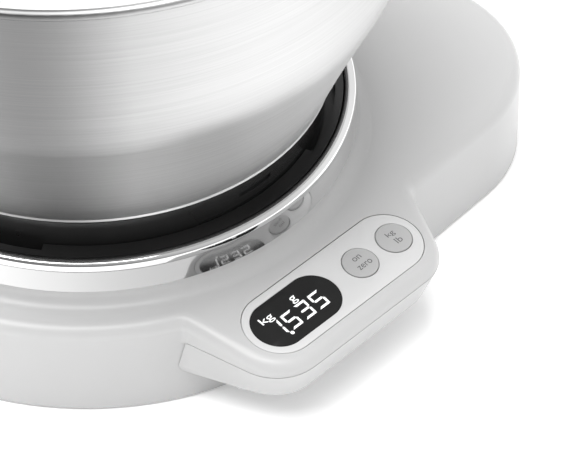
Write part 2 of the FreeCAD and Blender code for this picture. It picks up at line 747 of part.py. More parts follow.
def bowl_base_ring():
    """Black foot ring bonded under the bowl, with an index slot in front."""
    foot_inner = ring_radius - ring_foot_width
    ring = lathe([(foot_inner, ring_bottom), (ring_radius, ring_bottom), (ring_radius, ring_top - 4.0),
                  (ring_top_radius, ring_top), (neck_radius, ring_top), (neck_radius, ring_bottom + ring_foot),
                  (foot_inner, ring_bottom + ring_foot)])
    low = ring_bottom + slot_lift - slot_height / 2
    high = low + slot_height
    bed = ring_radius - slot_depth
    outside = ring_radius + 1.0
    half_span = math.degrees(slot_length / ring_radius) / 2
    return ring.cut(lathe([(bed, low), (outside, low), (outside, high), (bed, high)],
                          start=slot_angle - half_span, span=2 * half_span))


# ---- control panel ----
def control_fascia():
    """Thin round-ended plate with the window and button holes."""
    plate = stadium(0.0, panel_half_centres, panel_end_radius, -panel_thickness, 0.0)
    plate = plate.cut(stadium(window_offset, window_half_centres, window_radius + window_gap, -above, above))
    holes = [(offset, 0.0) for offset in button_offsets.values()]
    return on_panel(drilled(plate, button_radius + sliding_gap, holes, -above, above))


def fascia_gasket():
    """Thin foam ring between fascia and ledge."""
    ring = stadium(0.0, panel_half_centres, panel_end_radius, gasket_bottom, -panel_thickness)
    hole = stadium(0.0, panel_half_centres, panel_end_radius - panel_ledge, gasket_bottom, -panel_thickness)
    return on_panel(ring.cut(hole))


def display_window():
    """Dark lens, flush in the fascia and flanged behind it."""
    lens = stadium(window_offset, window_half_centres, window_radius, -panel_thickness, 0.0)
    flange = stadium(window_offset, window_half_centres, window_radius + window_flange,
                     lens_back, -panel_thickness)
    return on_panel(lens.fuse(flange))


def display_stack(top, size):
    """A flat piece centred behind the window."""
    length, width, thickness = size
    return on_panel(block(window_offset - length / 2, window_offset + length / 2, -width / 2, width / 2,
                          top - thickness, top))


def display_module():
    return display_stack(lens_back, display_size)


def light_guide():
    return display_stack(lens_back - display_size[2], light_guide_size)


def control_board():
    """Round-ended circuit board hung from the cover under the panel."""
    board = stadium(0.0, board_half_centres, board_end_radius, -board_drop, board_thickness - board_drop)
    return on_panel(drilled(board, board_screw_radius + screw_gap, board_screw_places(), -above, above))


def board_screw_places():
    side = board_end_radius - board_screw_edge
    return [(-board_half_centres - board_screw_run, 0.0), (board_screw_side, side), (board_screw_side, -side)]


def board_screws():
    """Three screws up through the board into the panel frame."""
    return on_panel(group([screw(board_screw_radius, -board_drop, 4.0 - board_drop, x, y, head_up=False)
                           for x, y in board_screw_places()]))


def panel_frame():
    """Moulded frame under the fascia that spaces the board and guides both buttons."""
    top = gasket_bottom - button_flange_thickness - button_travel - stack_gap
    bottom = board_thickness - board_drop
    frame = stadium(0.0, board_half_centres, board_end_radius, bottom, top)
    flange = stadium(0.0, panel_half_centres, panel_end_radius + frame_flange, -ledge_depth - frame_flange,
                     -ledge_depth)
    frame = frame.fuse(flange)
    half_x = light_guide_size[0] / 2 + stack_gap
    half_y = light_guide_size[1] / 2 + stack_gap
    frame = frame.cut(block(window_offset - half_x, window_offset + half_x, -half_y, half_y, bottom, top))
    wells = [(offset, 0.0) for offset in button_offsets.values()]
    frame = drilled(frame, button_stem_radius + dome_room, wells, bottom, top)
    frame = drilled(frame, board_screw_radius + screw_gap, board_screw_places(), bottom, bottom + 3.6)
    frame = drilled(frame, board_screw_radius + screw_gap, frame_screw_places(), -above, 0.0)
    return drilled(on_panel(frame), pod_boss_radius + fit_gap, pod_boss_places())


def frame_screw_places():
    return corner_places(panel_half_centres - frame_screw_inset, panel_end_radius - frame_screw_edge)


def frame_screws():
    """Four screws up through the frame's flange into the ledge under the panel."""
    seat = -ledge_depth - frame_flange
    return on_panel(group([screw(board_screw_radius, seat, 2.0 - ledge_depth, x, y, head_up=False)
                           for x, y in frame_screw_places()]))


def button(name):
    """Round cap with a retaining flange under the fascia and a stem down to its dome."""
    x = button_offsets[name]
    flange_top = -panel_thickness
    cap = cylinder(button_radius, flange_top, button_proud, x)
    flange = cylinder(button_radius + button_flange, flange_top - button_flange_thickness, flange_top, x)
    stem_bottom = board_thickness - board_drop + dome_height
    stem = cylinder(button_stem_radius, stem_bottom, flange_top, x)
    return on_panel(cap.fuse(flange).fuse(stem).removeSplitter())


def dome(name):
    """Silicone dome that pushes its button back up."""
    x = button_offsets[name]
    base = board_thickness - board_drop
    foot = Vector(x, 0, base)
    skirt = Part.makeCone(button_stem_radius + dome_foot, button_stem_radius, dome_height, foot)
    hollow = Part.makeCone(button_stem_radius + dome_foot - dome_wall, button_stem_radius - dome_wall,
                           dome_height - dome_wall, foot)
    return on_panel(skirt.cut(hollow))


# ---- weighing mechanism ----
def chassis_plate():
    """Folded steel plate that carries the fixed end of the load cell and the overload stops."""
    half_x = chassis_length / 2
    half_y = chassis_width / 2
    plate = block(-half_x, half_x, -half_y, half_y, chassis_bottom, chassis_top)
    lip = 6.0
    for side in (-1, 1):
        y0, y1 = sorted((side * half_y, side * (half_y - chassis_sheet)))
        plate = plate.fuse(block(-half_x + 18.0, half_x - 18.0, y0, y1, chassis_bottom, chassis_top + lip))
    plate = drilled(plate, chassis_screw_radius + screw_gap, chassis_boss_places())
    plate = drilled(plate, cell_screw_radius + screw_gap, cell_screw_places(-1))
    return drilled(plate, stop_stem_radius + screw_gap, stop_places())


def chassis_screws():
    return group([screw(chassis_screw_radius, chassis_top, foot_height + 1.4, x, y)
                  for x, y in chassis_boss_places()])


def cell_spacer(side, bottom):
    """Plate under or over one clamped end of the load cell."""
    end = side * cell_length / 2
    x0, x1 = sorted((end, end - side * cell_pad))
    spacer = block(x0, x1, -cell_side / 2, cell_side / 2, bottom, bottom + spacer_height)
    return drilled(spacer, cell_screw_radius + screw_gap, cell_screw_places(side))


def load_cell_beam():
    """Aluminium bar with a double bore that bends in its middle."""
    beam = block(-cell_length / 2, cell_length / 2, -cell_side / 2, cell_side / 2, cell_bottom, cell_top)
    middle = cell_bottom + cell_side / 2
    half = cell_bore_spacing / 2
    for side in (-1, 1):
        bore = Part.makeCylinder(cell_bore_radius, far, Vector(side * half, -far / 2, middle), Vector(0, 1, 0))
        beam = drilled(beam.cut(bore), cell_screw_radius + screw_gap, cell_screw_places(side))
    return beam.cut(block(-half, half, -far / 2, far / 2, middle - 1.5, middle + 1.5))


def gauge_sealant():
    """White sealant over the strain gauges on the beam's top and bottom."""
    half = cell_bore_spacing / 2 + 3.0
    half_y = cell_side / 2 - 1.0
    return group([block(-half, half, -half_y, half_y, cell_top, cell_top + 1.0),
                  block(-half, half, -half_y, half_y, cell_bottom - 1.0, cell_bottom)])


def fixed_cell_screws():
    """Screws from under the chassis up into the beam."""
    return group([screw(cell_screw_radius, chassis_bottom, cell_bottom + 8.0, x, y, head_up=False)
                  for x, y in cell_screw_places(-1)])


def free_cell_screws():
    """Screws down through the spider's hub into the beam."""
    return group([screw(cell_screw_radius, hub_bottom + 4.0, cell_top - 8.0, x, y)
                  for x, y in cell_screw_places(1)])


def platform_spider():
    """Cast aluminium table under the seat, with four arms and a hub over the beam's free end."""
    plate = cylinder(spider_hub_radius, spider_bottom, spider_top)
    diagonal = stop_circle + stop_arm_run
    arms = [(spider_radius, spider_arm_width, 0.0), (spider_radius, spider_arm_width, 90.0),
            (diagonal, stop_arm_width, stop_angle), (diagonal, stop_arm_width, -stop_angle)]
    for reach, width, angle in arms:
        arm = block(-reach, reach, -width / 2, width / 2, spider_bottom, spider_top)
        arm.rotate(Vector(0, 0, 0), Vector(0, 0, 1), angle)
        plate = plate.fuse(arm)
    hub_x = cell_length / 2 - cell_pad / 2
    half_x = spider_hub_length / 2
    half_y = spider_hub_width / 2
    hub = block(hub_x - half_x, hub_x + half_x, -half_y, half_y, hub_bottom, spider_top)
    spider = plate.fuse(hub).removeSplitter()
    spider = drilled(spider, cell_screw_radius + screw_gap, cell_screw_places(1))
    spider = drilled(spider, 2 * cell_screw_radius + screw_gap, cell_screw_places(1), bottom=hub_bottom + 4.0)
    return drilled(spider, cover_screw_radius + screw_gap, seat_screw_places())


def overload_stops():
    """Posts on the chassis that catch the spider when the scale is overloaded."""
    top = spider_bottom - platform_travel
    return group([cylinder(stop_radius, chassis_top, top, x, y).fuse(
        cylinder(stop_stem_radius, chassis_bottom - 2.0, chassis_top, x, y)) for x, y in stop_places()])


def seat_screws():
    return group([screw(cover_screw_radius, seat_floor_top, spider_bottom - 1.0, x, y)
                  for x, y in seat_screw_places()])


# ---- fasteners, feet, boards and cables ----
def cover_screws():
    """Screws up through the bottom plate into the cover's bosses."""
    seat = foot_height + screw_head_height
    return group([screw(cover_screw_radius, seat, plate_top + cover_screw_run, x, y, head_up=False)
                  for x, y in cover_boss_places()])


def pod_screws():
    """Screws up through the pod's lower shell into the cover."""
    return group([screw(cover_screw_radius, pod_floor_height, parting_height, x, y, head_up=False)
                  for x, y in pod_boss_places()])


def rubber_feet():
    return group([cylinder(foot_radius, 0.0, foot_height, x, y).fuse(
        cylinder(foot_stem_radius, foot_height, foot_height + foot_stem, x, y)) for x, y in foot_places()])


def main_board():
    """Circuit board that reads the load cell."""
    half_x = main_board_size[0] / 2
    half_y = main_board_size[1] / 2
    board = block(board_x - half_x, board_x + half_x, board_y - half_y, board_y + half_y,
                  board_z, board_z + board_thickness)
    return drilled(board, board_screw_radius + screw_gap, main_board_boss_places())


def board_chips():
    """Converter, controller and the three cable headers."""
    top = board_z + board_thickness
    x, y = board_x, board_y
    return group([block(x - 11.0, x - 4.0, y - 4.0, y + 4.0, top, top + 1.6),
                  block(x + 1.0, x + 6.0, y - 9.0, y - 3.0, top, top + 1.6),
                  block(x - 22.0, x - 17.0, y - 9.0, y - 1.0, top, top + 5.0),
                  block(x - 22.0, x - 17.0, y + 1.0, y + 9.0, top, top + 5.0),
                  block(x + 8.0, x + 15.0, y - 19.0, y - 14.0, top, top + 5.0)])


def beeper():
    top = board_z + board_thickness
    return cylinder(6.0, top, top + 6.0, board_x + 9.0, board_y + 8.0)


def main_board_screws():
    top = board_z + board_thickness
    return group([screw(board_screw_radius, top, plate_top + 1.0, x, y) for x, y in main_board_boss_places()])


def display_cable():
    """From the control board's underside, through the wall opening and round the chassis."""
    board_under = panel_z - board_drop
    return cable([(30.0, panel_y + 8.0, board_under - 3.0), (34.0, panel_y + 20.0, board_under - 3.5),
                  (48.0, panel_y + 45.0, 18.0), (78.0, -40.0, 11.0), (86.0, board_y - 40.0, 11.0),
                  (board_x - 32.0, board_y - 5.0, header_z), (board_x - 23.0, board_y - 5.0, header_z)],
                 cable_radius)


def load_cell_cable():
    """From the gauges over the chassis to the main board."""
    middle = cell_bottom + cell_side / 2
    return cable([(0.0, cell_side / 2 + 0.3, middle), (2.0, 16.0, middle - 2.0), (24.0, 24.0, chassis_top + 9.0),
                  (72.0, 24.0, chassis_top + 8.0), (board_x - 36.0, board_y - 2.0, header_z + 1.0),
                  (board_x - 29.0, board_y + 5.0, header_z), (board_x - 23.0, board_y + 5.0, header_z)],
                 cable_radius)


def battery_leads():
    """Two short wires from the tray's end to the main board's power header."""
    start_y = tray_half_length
    end_y = board_y - main_board_size[1] / 2 + 1.0
    leads = []
    for offset in (-1.6, 1.6):
        start_x = tray_x + offset
        end_x = board_x + 11.5 + offset
        leads.append(cable([(start_x, start_y + 0.4, plate_top + 8.0), (start_x, start_y + 3.5, plate_top + 8.5),
                            (end_x, end_y - 3.5, header_z), (end_x, end_y - 0.4, header_z)], lead_radius))
    return group(leads)


def build():
    """Write every piece of the scale."""
    os.makedirs("parts", exist_ok=True)
    pieces = {
        "top_cover": top_cover(), "pod_lower_shell": pod_lower_shell(), "bottom_plate": bottom_plate(),
        "battery_door": battery_door(), "battery_tray": battery_tray(), "battery_cells": battery_cells(),
        "battery_contacts": battery_contacts(), "seat_collar": seat_collar(), "splash_seal": splash_seal(),
        "weighing_seat": weighing_seat(), "seat_pads": seat_pads(), "bowl_shell": bowl_shell(),
        "bowl_base_ring": bowl_base_ring(), "control_fascia": control_fascia(), "fascia_gasket": fascia_gasket(),
        "display_window": display_window(), "display_module": display_module(), "light_guide": light_guide(),
        "control_board": control_board(), "board_screws": board_screws(), "panel_frame": panel_frame(),
        "frame_screws": frame_screws(),
        "zero_button": button("zero"), "unit_button": button("unit"), "zero_dome": dome("zero"),
        "unit_dome": dome("unit"), "chassis_plate": chassis_plate(), "chassis_screws": chassis_screws(),
        "fixed_cell_spacer": cell_spacer(-1, chassis_top), "free_cell_spacer": cell_spacer(1, cell_top),
        "load_cell_beam": load_cell_beam(), "gauge_sealant": gauge_sealant(),
        "fixed_cell_screws": fixed_cell_screws(), "free_cell_screws": free_cell_screws(),
        "platform_spider": platform_spider(), "overload_stops": overload_stops(), "seat_screws": seat_screws(),
        "cover_screws": cover_screws(), "pod_screws": pod_screws(), "rubber_feet": rubber_feet(),
        "main_board": main_board(), "board_chips": board_chips(), "beeper": beeper(),
        "main_board_screws": main_board_screws(), "display_cable": display_cable(),
        "load_cell_cable": load_cell_cable(), "battery_leads": battery_leads(),
    }
    for name, shape in pieces.items():
        export(name, shape)


build()
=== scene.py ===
"""Kitchen scale with a steel bowl: the outside finish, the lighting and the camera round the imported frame.

Run as a script it builds every piece in turn. Lengths are in metres, in the frame's own axes.
"""
import json
import math

import bmesh
import bpy
from bpy.props import FloatProperty, FloatVectorProperty, PointerProperty, StringProperty
from mathutils import Matrix, Vector


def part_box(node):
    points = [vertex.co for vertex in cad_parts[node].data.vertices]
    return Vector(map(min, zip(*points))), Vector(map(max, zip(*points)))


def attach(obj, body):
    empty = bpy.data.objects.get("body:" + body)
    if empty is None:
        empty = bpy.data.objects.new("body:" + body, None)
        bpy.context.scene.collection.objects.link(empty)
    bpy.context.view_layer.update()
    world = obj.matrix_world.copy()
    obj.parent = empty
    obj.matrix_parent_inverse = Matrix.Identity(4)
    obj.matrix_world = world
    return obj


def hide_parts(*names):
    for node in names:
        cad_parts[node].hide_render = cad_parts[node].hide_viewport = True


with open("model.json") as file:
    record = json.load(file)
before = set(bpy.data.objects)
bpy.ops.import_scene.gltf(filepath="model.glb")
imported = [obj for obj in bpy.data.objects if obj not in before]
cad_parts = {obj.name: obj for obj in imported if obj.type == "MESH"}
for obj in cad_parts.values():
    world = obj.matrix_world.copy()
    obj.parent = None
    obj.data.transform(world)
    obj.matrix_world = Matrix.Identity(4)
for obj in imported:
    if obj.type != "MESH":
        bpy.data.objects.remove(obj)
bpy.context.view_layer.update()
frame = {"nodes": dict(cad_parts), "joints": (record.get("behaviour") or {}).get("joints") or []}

bl_info = {
    "name": "Kitchen Scale",
    "version": (1, 0, 0),
    "blender": (4, 5, 0),
    "location": "3D View > Sidebar > Kitchen Scale",
    "description": "Finishes a kitchen scale: housing, chrome collar, steel bowl, control panel and studio",
    "category": "Object",
}

MM = 0.001
FASCIA_THICK = 1.5 * MM
FASCIA_GAP = 0.12 * MM  # fascia smaller than its recess, so that a dark line shows round it
LENS_FLANGE = 1.2 * MM
LENS_GAP = 0.07 * MM
HOLE_RADIUS = 7.72 * MM
NODES = frame["nodes"]
COLLAR_LOW, COLLAR_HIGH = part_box("seat_collar")
RING_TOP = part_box("bowl_base_ring")[1].z
AXIS = (COLLAR_LOW + COLLAR_HIGH) / 2
AXIS.z = 0.0


# ---- sizes and colours ----
class ScaleHousing(bpy.types.PropertyGroup):
    colour: FloatVectorProperty(name="Colour", description="Moulded plastic of the base and pod", subtype="COLOR",
                                size=3, min=0, max=1, default=(0.50, 0.50, 0.50))
    gloss: FloatProperty(name="Roughness", description="Surface roughness of the moulding", subtype="FACTOR",
                         min=0, max=1, default=0.34)


class ScaleCollar(bpy.types.PropertyGroup):
    rim: FloatProperty(name="Rim rounding", description="Radius of the chrome rim's bead", unit="LENGTH",
                       default=2.4 * MM)
    flare: FloatProperty(name="Flare", description="How far the wall leans in up to the bead", unit="LENGTH",
                         default=1.85 * MM)
    roughness: FloatProperty(name="Roughness", description="Polish of the chrome", subtype="FACTOR",
                             min=0, max=1, default=0.05)


class ScaleBowl(bpy.types.PropertyGroup):
    brushing: FloatProperty(name="Brushing", description="Depth of the brushed lines", unit="LENGTH",
                            precision=6, default=0.02 * MM)


class ScalePanel(bpy.types.PropertyGroup):
    reading: StringProperty(name="Reading", description="Digits shown, with one decimal point", default="1.535")
    digit_height: FloatProperty(name="Digit height", description="Height of a digit", unit="LENGTH",
                                default=8.2 * MM)
    slant: FloatProperty(name="Slant", description="Lean of the digits to the right", subtype="ANGLE",
                         default=math.radians(4.0))
    fascia: FloatVectorProperty(name="Fascia colour", description="Plate round the window and buttons",
                                subtype="COLOR", size=3, min=0, max=1, default=(0.60, 0.60, 0.60))
    button: FloatVectorProperty(name="Button colour", description="Caps of both buttons", subtype="COLOR",
                                size=3, min=0, max=1, default=(0.42, 0.42, 0.42))
    ink: FloatVectorProperty(name="Legend colour", description="Printed unit and function words", subtype="COLOR",
                             size=3, min=0, max=1, default=(0.10, 0.10, 0.10))
    digit_width: FloatProperty(name="Digit width", description="Width of a digit", unit="LENGTH", default=5.8 * MM)
    bar: FloatProperty(name="Bar width", description="Width of a digit's bars", unit="LENGTH", default=1.05 * MM)
    glow: FloatProperty(name="Glow", description="Brightness of the lit digits", min=0, default=0.30)


class ScaleStudio(bpy.types.PropertyGroup):
    aim: FloatVectorProperty(name="Aim", description="Point looked at, from the bowl's axis at table height",
                             subtype="TRANSLATION", size=3, default=(0.00550, -0.10005, 0.04))
    distance: FloatProperty(name="Distance", description="Camera to the aimed point", unit="LENGTH", default=1.2655)
    heading: FloatProperty(name="Heading", description="Direction looked in, from +Y towards +X", subtype="ANGLE",
                           default=math.radians(45.446))
    pitch: FloatProperty(name="Pitch", description="Angle looked down", subtype="ANGLE",
                         default=math.radians(42.954))
    roll: FloatProperty(name="Roll", description="Turn about the line of sight", subtype="ANGLE",
                        default=math.radians(-1.179))
    lens: FloatProperty(name="Lens", description="Focal length on a 36 mm wide sensor, in millimetres",
                        default=202.27)
    floor: FloatVectorProperty(name="Floor colour", description="Sweep under the scale", subtype="COLOR",
                               size=3, min=0, max=1, default=(0.90, 0.90, 0.90))
    wash: FloatProperty(name="Floor wash", description="Light lifted off the sweep itself", default=0.20)
    sky: FloatProperty(name="Room light", description="Strength of the even light all round", default=0.86)
    shade: FloatProperty(name="Dark side", description="Strength of the room light on its dark side", default=0.25)
    bright_side: FloatVectorProperty(name="Bright side", description="Direction the room light comes from",
                                     subtype="DIRECTION", size=3, default=(0.70, -0.24, 0.66))
    key: FloatProperty(name="Key light", description="Power of the big soft light overhead, in watts", default=50.0)


# ---- shapes ----
def spun(bm, points, corners, segments=8, steps=96, closed=True):
    """Turn an outline of (radius, height) once about local Z, its numbered corners rounded by a radius each."""
    verts = [bm.verts.new((x, 0.0, z)) for x, z in points]
    for index in range(len(verts) - (0 if closed else 1)):
        bm.edges.new((verts[index], verts[(index + 1) % len(verts)]))
    for index, radius in sorted(corners.items()):
        bmesh.ops.bevel(bm, geom=[verts[index]], offset=radius, offset_type="OFFSET", affect="VERTICES",
                        segments=segments, profile=0.5, material=-1)
    bmesh.ops.spin(bm, geom=bm.verts[:] + bm.edges[:], cent=(0, 0, 0), axis=(0, 0, 1), angle=math.tau,
                   steps=steps, use_merge=True)
    bmesh.ops.remove_doubles(bm, verts=bm.verts[:], dist=1e-7)


CREASE = math.radians(35)


def finished(name, bm, outward=True):
    """Close a bmesh into a smooth-shaded object, with creases kept sharp."""
    if outward:
        bmesh.ops.recalc_face_normals(bm, faces=bm.faces[:])
    for face in bm.faces:
        face.smooth = True
    for edge in bm.edges:
        edge.smooth = edge.is_manifold and edge.calc_face_angle(0.0) < CREASE
    mesh = bpy.data.meshes.new(name)
    bm.to_mesh(mesh)
    bm.free()
    piece = bpy.data.objects.new(name, mesh)
    bpy.context.scene.collection.objects.link(piece)
    return piece


def settle(piece, body, slot, material, *replaced):
    """Give a piece its finish, its body and the nodes it stands for."""
    piece.data.materials.clear()
    piece.data.materials.append(material)
    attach(piece, body)
    if replaced:
        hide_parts(*replaced)
    return piece


def paint(material, *names):
    """Give carried-over nodes a finish."""
    for name in names:
        slots = NODES[name].material_slots
        if not slots:
            NODES[name].data.materials.append(material)
        for slot in slots:
            slot.material = material


def panel_place():
    """The panel's own axes: X along the pod, Y up its slope, Z out of its face, origin mid-fascia."""
    press = next(joint for joint in frame["joints"] if joint["name"] == "zero_button_press")
    out = -Vector(press["axis"]).normalized()
    along = Vector((0, 1, 0)).cross(out).normalized()
    up = out.cross(along)
    turn = Matrix((along, up, out))
    corners = [turn @ v.co for v in NODES["control_fascia"].data.vertices]
    middle = [(min(c[i] for c in corners) + max(c[i] for c in corners)) / 2 for i in (0, 1)]
    origin = turn.transposed() @ Vector((*middle, max(c.z for c in corners)))
    return Matrix.Translation(origin) @ turn.transposed().to_4x4()


def on_panel(place, node):
    """A node's corners in the panel's axes."""
    back = place.inverted()
    return [back @ v.co for v in NODES[node].data.vertices]


def centre_on_panel(place, node):
    points = on_panel(place, node)
    return Vector([(min(p[i] for p in points) + max(p[i] for p in points)) / 2 for i in (0, 1)])


def stadium_size(place, node):
    """Half the distance between the end centres, and the end radius, of a round-ended node."""
    points = on_panel(place, node)
    radius = (max(p.y for p in points) - min(p.y for p in points)) / 2
    return (max(p.x for p in points) - min(p.x for p in points)) / 2 - radius, radius


def rims(bm, centre, half, radius, *levels):
    """A band of round-ended outlines, each (inset, height), bridged in turn. Returns the first one's edges."""
    loops = []
    for inset, height in levels:
        verts = bmesh.ops.create_circle(bm, segments=96, radius=radius - inset,
                                        matrix=Matrix.Rotation(math.tau / 192, 4, "Z"))["verts"]
        for side in (-1, 1):
            bmesh.ops.translate(bm, verts=[v for v in verts if v.co.x * side > 0], vec=(side * half, 0, 0))
        bmesh.ops.translate(bm, verts=verts, vec=(centre[0], centre[1], height))
        loops.append(list({edge for vert in verts for edge in vert.link_edges}))
    for upper, lower in zip(loops, loops[1:]):
        bmesh.ops.bridge_loops(bm, edges=upper + lower)
    return loops[0]


BARS_LIT = {
    "0": "top bottom upper_left upper_right lower_left lower_right".split(),
    "1": "upper_right lower_right".split(),
    "2": "top middle bottom upper_right lower_left".split(),
    "3": "top middle bottom upper_right lower_right".split(),
    "4": "middle upper_left upper_right lower_right".split(),
    "5": "top middle bottom upper_left lower_right".split(),
    "6": "top middle bottom upper_left lower_left lower_right".split(),
    "7": "top upper_right lower_right".split(),
    "8": "top middle bottom upper_left upper_right lower_left lower_right".split(),
    "9": "top middle bottom upper_left upper_right lower_right".split(),
}


def bar_outline(name, half_x, half_y, width, gap):
    """Corners of one mitred bar of a seven-bar digit, about the digit's middle."""
    if name == "middle":
        outer, inner = half_x - width / 2 - gap, half_x - width - gap
        return [(-outer, 0), (-inner, width / 2), (inner, width / 2), (outer, 0), (inner, -width / 2),
                (-inner, -width / 2)]
    if name in {"top", "bottom"}:
        outer, inner = half_x - gap, half_x - width - gap
        outline = [(-outer, half_y), (outer, half_y), (inner, half_y - width), (-inner, half_y - width)]
    else:
        inner = half_x - width
        outline = [(half_x, half_y - gap), (inner, half_y - width - gap), (inner, width / 2 + gap),
                   (half_x - width / 2, gap), (half_x, width / 2 + gap)]
    side = -1 if "left" in name else 1
    level = -1 if name == "bottom" or "lower" in name else 1
    return [(side * x, level * y) for x, y in outline]


def bar(bm, name, size, middle):
    """One bar of a digit, leaning with it."""
    outline = bar_outline(name, size.digit_width / 2, size.digit_height / 2, size.bar, 0.12 * MM)
    verts = [bm.verts.new((middle[0] + x + y * math.tan(size.slant), middle[1] + y, 0)) for x, y in outline]
    face = bmesh.ops.contextual_create(bm, geom=verts)["faces"][0]
    face.normal_update()
    if face.normal.z < 0:
        face.normal_flip()


def legend(name, words, box, place, body, material, lift=0.32 * MM, slot="button", weight=0.0):
    """A flat word filling a box (left, right, low, high in millimetres), a hair above its surface."""
    text = bpy.data.curves.new(name, "FONT")
    text.body = words
    text.offset = weight
    shaped = bpy.data.objects.new(name, text)
    mesh = bpy.data.meshes.new_from_object(shaped)
    bpy.data.objects.remove(shaped)
    spans = []
    for axis, (low, high) in enumerate((box[:2], box[2:])):
        values = [v.co[axis] for v in mesh.vertices]
        scale = (high - low) * MM / (max(values) - min(values))
        spans.append((scale, low * MM - min(values) * scale))
    (scale_x, shift_x), (scale_y, shift_y) = spans
    fit = Matrix.Translation((shift_x, shift_y, lift)) @ Matrix.Diagonal((scale_x, scale_y, 1, 1))
    mesh.transform(place @ fit)
    piece = bpy.data.objects.new(name, mesh)
    bpy.context.scene.collection.objects.link(piece)
    return settle(piece, body, slot, material)


# ---- finishes ----
class Finish:
    """A procedural material on Object coordinates, in metres."""

    def __init__(self, name, colour, roughness, metallic=0.0, **sockets):
        self.material = bpy.data.materials.new(name)
        self.material.use_nodes = True
        self.nodes = self.material.node_tree.nodes
        self.links = self.material.node_tree.links
        self.shader = self.nodes["Principled BSDF"]
        self.shader.inputs["Base Color"].default_value = (*colour, 1.0)
        self.shader.inputs["Roughness"].default_value = roughness
        self.shader.inputs["Metallic"].default_value = metallic
        for socket, value in sockets.items():
            self.shader.inputs[socket.replace("_", " ")].default_value = value
        self.colour = colour
        self.normal = None

    def pattern(self, scale, stretch=(1, 1, 1), detail=3.0, kind="ShaderNodeTexNoise"):
        """Noise with this many cells per metre, squeezed along each axis by stretch."""
        place = self.nodes.new("ShaderNodeTexCoord")
        mapping = self.nodes.new("ShaderNodeMapping")
        mapping.inputs["Scale"].default_value = stretch
        texture = self.nodes.new(kind)
        texture.inputs["Scale"].default_value = scale
        if "Detail" in texture.inputs:
            texture.inputs["Detail"].default_value = detail
        self.links.new(place.outputs["Object"], mapping.inputs["Vector"])
        self.links.new(mapping.outputs["Vector"], texture.inputs["Vector"])
        return texture.outputs[0]

    def around(self, *stops):
        """Shares of the colour at angles round the bowl's axis, in degrees from -180 up to 180."""
        place = self.nodes.new("ShaderNodeTexCoord")
        split = self.nodes.new("ShaderNodeSeparateXYZ")
        shift = self.nodes.new("ShaderNodeVectorMath")
        shift.operation = "SUBTRACT"
        shift.inputs[1].default_value = AXIS
        angle = self.nodes.new("ShaderNodeMath")
        angle.operation = "ARCTAN2"
        turn = self.nodes.new("ShaderNodeMapRange")
        turn.inputs["From Min"].default_value = -math.pi
        turn.inputs["From Max"].default_value = math.pi
        ramp = self.nodes.new("ShaderNodeValToRGB")
        ramp.color_ramp.interpolation = "B_SPLINE"
        elements = ramp.color_ramp.elements
        while len(elements) < len(stops):
            elements.new(0.5)
        for element, (degrees, share) in zip(elements, stops):
            element.position = (degrees + 180) / 360
            element.color = (share, share, share, 1)
        self.links.new(place.outputs["Object"], shift.inputs[0])
        self.links.new(shift.outputs["Vector"], split.inputs["Vector"])
        self.links.new(split.outputs["Y"], angle.inputs[0])
        self.links.new(split.outputs["X"], angle.inputs[1])
        self.links.new(angle.outputs["Value"], turn.inputs["Value"])
        self.links.new(turn.outputs["Result"], ramp.inputs["Fac"])
        return ramp.outputs["Color"]

    def rise(self, low, high, first, last):
        """A value that goes from first to last between two heights."""
        place = self.nodes.new("ShaderNodeTexCoord")
        split = self.nodes.new("ShaderNodeSeparateXYZ")
        ramp = self.nodes.new("ShaderNodeMapRange")
        for socket, value in zip(("From Min", "From Max", "To Min", "To Max"), (low, high, first, last)):
            ramp.inputs[socket].default_value = value
        self.links.new(place.outputs["Object"], split.inputs["Vector"])
        self.links.new(split.outputs["Z"], ramp.inputs["Value"])
        return ramp.outputs["Result"]

    def shaded(self, source, share=None):
        """Multiply the colour by a pattern, fully or by another pattern's share."""
        colour = self.shader.inputs["Base Color"]
        mix = self.nodes.new("ShaderNodeMix")
        mix.data_type = "RGBA"
        mix.blend_type = "MULTIPLY"
        mix.inputs[0].default_value = 1.0
        mix.inputs[6].default_value = colour.default_value
        if colour.links:
            self.links.new(colour.links[0].from_socket, mix.inputs[6])
        if share:
            self.links.new(share, mix.inputs[0])
        self.links.new(source, mix.inputs[7])
        self.links.new(mix.outputs[2], colour)
        return self

    def spread(self, source, low, high):
        """Remap a pattern to a range."""
        ramp = self.nodes.new("ShaderNodeMapRange")
        ramp.inputs["To Min"].default_value = low
        ramp.inputs["To Max"].default_value = high
        self.links.new(source, ramp.inputs["Value"])
        return ramp.outputs["Result"]

    def tone(self, source, amount):
        """Lighten and darken the colour by a share of itself."""
        mix = self.nodes.new("ShaderNodeMix")
        mix.data_type = "RGBA"
        mix.inputs[6].default_value = (*[c * (1 - amount) for c in self.colour], 1.0)
        mix.inputs[7].default_value = (*[min(1.0, c * (1 + amount)) for c in self.colour], 1.0)
        self.links.new(source, mix.inputs[0])
        self.links.new(mix.outputs[2], self.shader.inputs["Base Color"])
        return self

    def rough(self, source, low, high):
        self.links.new(self.spread(source, low, high), self.shader.inputs["Roughness"])
        return self

    def bump(self, source, distance, strength=1.0):
        """Raise the surface by this many metres; several bumps add up."""
        bump = self.nodes.new("ShaderNodeBump")
        bump.inputs["Strength"].default_value = strength
        bump.inputs["Distance"].default_value = distance
        self.links.new(source, bump.inputs["Height"])
        if self.normal:
            self.links.new(self.normal, bump.inputs["Normal"])
        self.normal = bump.outputs["Normal"]
        self.links.new(self.normal, self.shader.inputs["Normal"])
        return self


def moulded(name, colour, roughness, grain=2600.0, depth=0.004 * MM, **sockets):
    """Injection moulded plastic with a fine spark-eroded grain and faint flow marks."""
    finish = Finish(name, colour, roughness, **sockets)
    flow = finish.pattern(14.0, detail=2.0)
    finish.tone(flow, 0.012)
    finish.rough(finish.pattern(grain, detail=2.0), roughness * 0.9, roughness * 1.1)
    finish.bump(finish.pattern(grain, detail=2.0), depth)
    return finish.material


